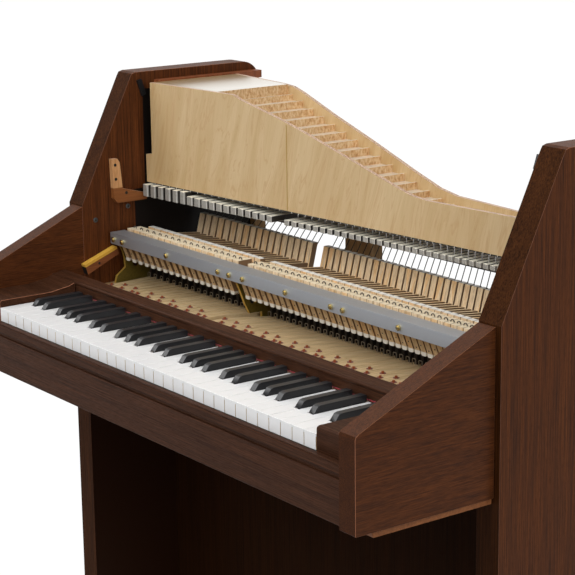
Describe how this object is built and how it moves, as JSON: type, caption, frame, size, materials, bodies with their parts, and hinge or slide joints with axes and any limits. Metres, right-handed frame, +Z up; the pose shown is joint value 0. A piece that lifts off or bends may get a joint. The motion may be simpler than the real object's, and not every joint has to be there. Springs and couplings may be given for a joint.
{
  "type": "keyboard_celesta",
  "caption": "Small keyboard celesta with its lid and front covers off, showing keys, hammer action, tuned bars and a sloping birch resonator",
  "frame": {"origin": "centre of the instrument's footprint on the floor", "axes": "+X towards the treble end, the player's right; +Y away from the player; +Z up"},
  "size_m": [0.998, 0.55, 1.044],
  "materials": {
    "walnut_veneer": "dark reddish walnut veneer, satin lacquer",
    "beech": "planed beech, bare",
    "raw_ply": "stained plywood, dull",
    "birch_ply": "birch plywood, thin clear varnish",
    "pine": "planed softwood, bare",
    "maple": "planed maple, bare",
    "red_beech": "stained beech, satin",
    "damper_wood": "small wooden levers with steel wires and felt pads",
    "white_key": "polished white key tops on wooden levers",
    "black_key": "satin black key caps on wooden levers",
    "red_felt": "wool felt",
    "green_felt": "wool felt",
    "yellow_felt": "felt-topped wooden block",
    "rail_aluminium": "brushed along its length",
    "bronze_paint": "olive bronze paint, satin",
    "black_steel": "black paint, satin",
    "steel": "drawn wire and pins",
    "bar_steel": "sawn and ground bars, matt grey",
    "brass": "polished"
  },
  "bodies": {
    "case": {"side_panel_left": "walnut_veneer", "side_panel_right": "walnut_veneer", "cheek_left": "walnut_veneer", "cheek_right": "walnut_veneer", "front_board": "walnut_veneer", "key_slip": "walnut_veneer", "key_bed": "beech", "under_board": "raw_ply", "key_blocks": "walnut_veneer", "cover_rail": "walnut_veneer", "rail_felt": "red_felt", "knee_panel": "walnut_veneer", "bottom_board": "walnut_veneer", "back_frame": "pine", "key_frame": "beech", "balance_pins": "steel", "key_cloths": "green_felt", "action_brackets": "bronze_paint", "action_rail": "rail_aluminium", "rail_screws": "brass", "flange_beams": "maple", "hammer_flanges": "maple", "flange_springs": "steel", "damper_rail": "pine", "bar_rails": "beech", "bar_pins": "steel", "tone_bars": "bar_steel", "resonator_front": "birch_ply", "resonator_back": "birch_ply", "resonator_cells": "birch_ply", "lid_ledges": "red_beech", "corner_brackets": "red_beech", "catch_plates": "black_steel", "felt_block": "yellow_felt", "pedal_bracket": "black_steel"},
    "key_c": {"key_c": "white_key"},
    "key_c_sharp": {"key_c_sharp": "black_key"},
    "key_d": {"key_d": "white_key"},
    "key_d_sharp": {"key_d_sharp": "black_key"},
    "key_e": {"key_e": "white_key"},
    "key_f": {"key_f": "white_key"},
    "key_f_sharp": {"key_f_sharp": "black_key"},
    "key_g": {"key_g": "white_key"},
    "key_g_sharp": {"key_g_sharp": "black_key"},
    "key_a": {"key_a": "white_key"},
    "key_a_sharp": {"key_a_sharp": "black_key"},
    "key_b": {"key_b": "white_key"},
    "bass_keys": {"bass_white_keys": "white_key", "bass_black_keys": "black_key"},
    "treble_keys": {"treble_white_keys": "white_key", "treble_black_keys": "black_key"},
    "middle_c_lever": {"middle_c_lever": "maple"},
    "middle_c_hammer": {"middle_c_hammer": "maple"},
    "middle_c_damper": {"middle_c_damper": "damper_wood"},
    "levers": {"levers": "maple"},
    "hammers": {"hammers": "maple"},
    "dampers": {"dampers": "damper_wood"},
    "damper_pull": {"pull_rail": "pine", "pull_rod": "steel"},
    "pedal": {"pedal": "brass"}
  },
  "joints": [
    {"name": "key_c_press", "type": "hinge", "parent": "case", "child": "key_c", "pos_m": [0, -0.034, 0.699], "axis": [1, 0, 0], "range_deg": [0, 2.5], "stiffness_Nm_per_rad": 0.5, "springref_deg": -6.88},
    {"name": "key_c_sharp_press", "type": "hinge", "parent": "case", "child": "key_c_sharp", "pos_m": [0, -0.0185, 0.699], "axis": [1, 0, 0], "range_deg": [0, 2.5], "stiffness_Nm_per_rad": 0.5, "springref_deg": -6.88},
    {"name": "key_d_press", "type": "hinge", "parent": "case", "child": "key_d", "pos_m": [0, -0.034, 0.699], "axis": [1, 0, 0], "range_deg": [0, 2.5], "stiffness_Nm_per_rad": 0.5, "springref_deg": -6.88},
    {"name": "key_d_sharp_press", "type": "hinge", "parent": "case", "child": "key_d_sharp", "pos_m": [0, -0.0185, 0.699], "axis": [1, 0, 0], "range_deg": [0, 2.5], "stiffness_Nm_per_rad": 0.5, "springref_deg": -6.88},
    {"name": "key_e_press", "type": "hinge", "parent": "case", "child": "key_e", "pos_m": [0, -0.034, 0.699], "axis": [1, 0, 0], "range_deg": [0, 2.5], "stiffness_Nm_per_rad": 0.5, "springref_deg": -6.88},
    {"name": "key_f_press", "type": "hinge", "parent": "case", "child": "key_f", "pos_m": [0, -0.034, 0.699], "axis": [1, 0, 0], "range_deg": [0, 2.5], "stiffness_Nm_per_rad": 0.5, "springref_deg": -6.88},
    {"name": "key_f_sharp_press", "type": "hinge", "parent": "case", "child": "key_f_sharp", "pos_m": [0, -0.0185, 0.699], "axis": [1, 0, 0], "range_deg": [0, 2.5], "stiffness_Nm_per_rad": 0.5, "springref_deg": -6.88},
    {"name": "key_g_press", "type": "hinge", "parent": "case", "child": "key_g", "pos_m": [0, -0.034, 0.699], "axis": [1, 0, 0], "range_deg": [0, 2.5], "stiffness_Nm_per_rad": 0.5, "springref_deg": -6.88},
    {"name": "key_g_sharp_press", "type": "hinge", "parent": "case", "child": "key_g_sharp", "pos_m": [0, -0.0185, 0.699], "axis": [1, 0, 0], "range_deg": [0, 2.5], "stiffness_Nm_per_rad": 0.5, "springref_deg": -6.88},
    {"name": "key_a_press", "type": "hinge", "parent": "case", "child": "key_a", "pos_m": [0, -0.034, 0.699], "axis": [1, 0, 0], "range_deg": [0, 2.5], "stiffness_Nm_per_rad": 0.5, "springref_deg": -6.88},
    {"name": "key_a_sharp_press", "type": "hinge", "parent": "case", "child": "key_a_sharp", "pos_m": [0, -0.0185, 0.699], "axis": [1, 0, 0], "range_deg": [0, 2.5], "stiffness_Nm_per_rad": 0.5, "springref_deg": -6.88},
    {"name": "key_b_press", "type": "hinge", "parent": "case", "child": "key_b", "pos_m": [0, -0.034, 0.699], "axis": [1, 0, 0], "range_deg": [0, 2.5], "stiffness_Nm_per_rad": 0.5, "springref_deg": -6.88},
    {"name": "bass_keys_press", "type": "hinge", "parent": "case", "child": "bass_keys", "pos_m": [0, -0.034, 0.699], "axis": [1, 0, 0], "range_deg": [0, 2.5], "stiffness_Nm_per_rad": 6, "springref_deg": -6.88},
    {"name": "treble_keys_press", "type": "hinge", "parent": "case", "child": "treble_keys", "pos_m": [0, -0.034, 0.699], "axis": [1, 0, 0], "range_deg": [0, 2.5], "stiffness_Nm_per_rad": 6, "springref_deg": -6.88},
    {"name": "middle_c_lever_turn", "type": "hinge", "parent": "case", "child": "middle_c_lever", "pos_m": [0, -0.009, 0.789], "axis": [1, 0, 0], "range_deg": [0, 4], "stiffness_Nm_per_rad": 0.2, "springref_deg": -11.46},
    {"name": "middle_c_hammer_turn", "type": "hinge", "parent": "case", "child": "middle_c_hammer", "pos_m": [0, 0.037, 0.785], "axis": [1, 0, 0], "range_deg": [0, 21.3], "stiffness_Nm_per_rad": 0.2, "springref_deg": -11.46},
    {"name": "middle_c_damper_turn", "type": "hinge", "parent": "case", "child": "middle_c_damper", "pos_m": [0, 0.1, 0.737], "axis": [1, 0, 0], "range_deg": [-3, 0], "stiffness_Nm_per_rad": 0.3, "springref_deg": 17.19},
    {"name": "levers_turn", "type": "hinge", "parent": "case", "child": "levers", "pos_m": [0, -0.009, 0.789], "axis": [1, 0, 0], "range_deg": [0, 4], "stiffness_Nm_per_rad": 4, "springref_deg": -17.19},
    {"name": "hammers_turn", "type": "hinge", "parent": "case", "child": "hammers", "pos_m": [0, 0.037, 0.785], "axis": [1, 0, 0], "range_deg": [0, 21.3], "stiffness_Nm_per_rad": 6, "springref_deg": -22.92},
    {"name": "dampers_turn", "type": "hinge", "parent": "case", "child": "dampers", "pos_m": [0, 0.1, 0.737], "axis": [1, 0, 0], "range_deg": [-3, 0], "stiffness_Nm_per_rad": 8, "springref_deg": 17.19},
    {"name": "damper_pull_slide", "type": "slide", "parent": "case", "child": "damper_pull", "axis": [0, 0, 1], "range_m": [-0.00125, 0], "stiffness_N_per_m": 6000, "springref_m": 0.002},
    {"name": "pedal_press", "type": "hinge", "parent": "case", "child": "pedal", "pos_m": [-0.00525, 0.132, 0.036], "axis": [1, 0, 0], "range_deg": [0, 6], "stiffness_Nm_per_rad": 12, "springref_deg": -8.59}
  ],
  "couplings": [
    {"joint": "middle_c_lever_turn", "follows": "key_c_press", "ratio": 1.6},
    {"joint": "middle_c_hammer_turn", "follows": "key_c_press", "ratio": 8.52},
    {"joint": "middle_c_damper_turn", "follows": "key_c_press", "ratio": -1.2},
    {"joint": "hammers_turn", "follows": "levers_turn", "ratio": 5.325},
    {"joint": "dampers_turn", "follows": "pedal_press", "ratio": -0.5},
    {"joint": "damper_pull_slide", "follows": "pedal_press", "m_per_rad": -0.011937}
  ]
}
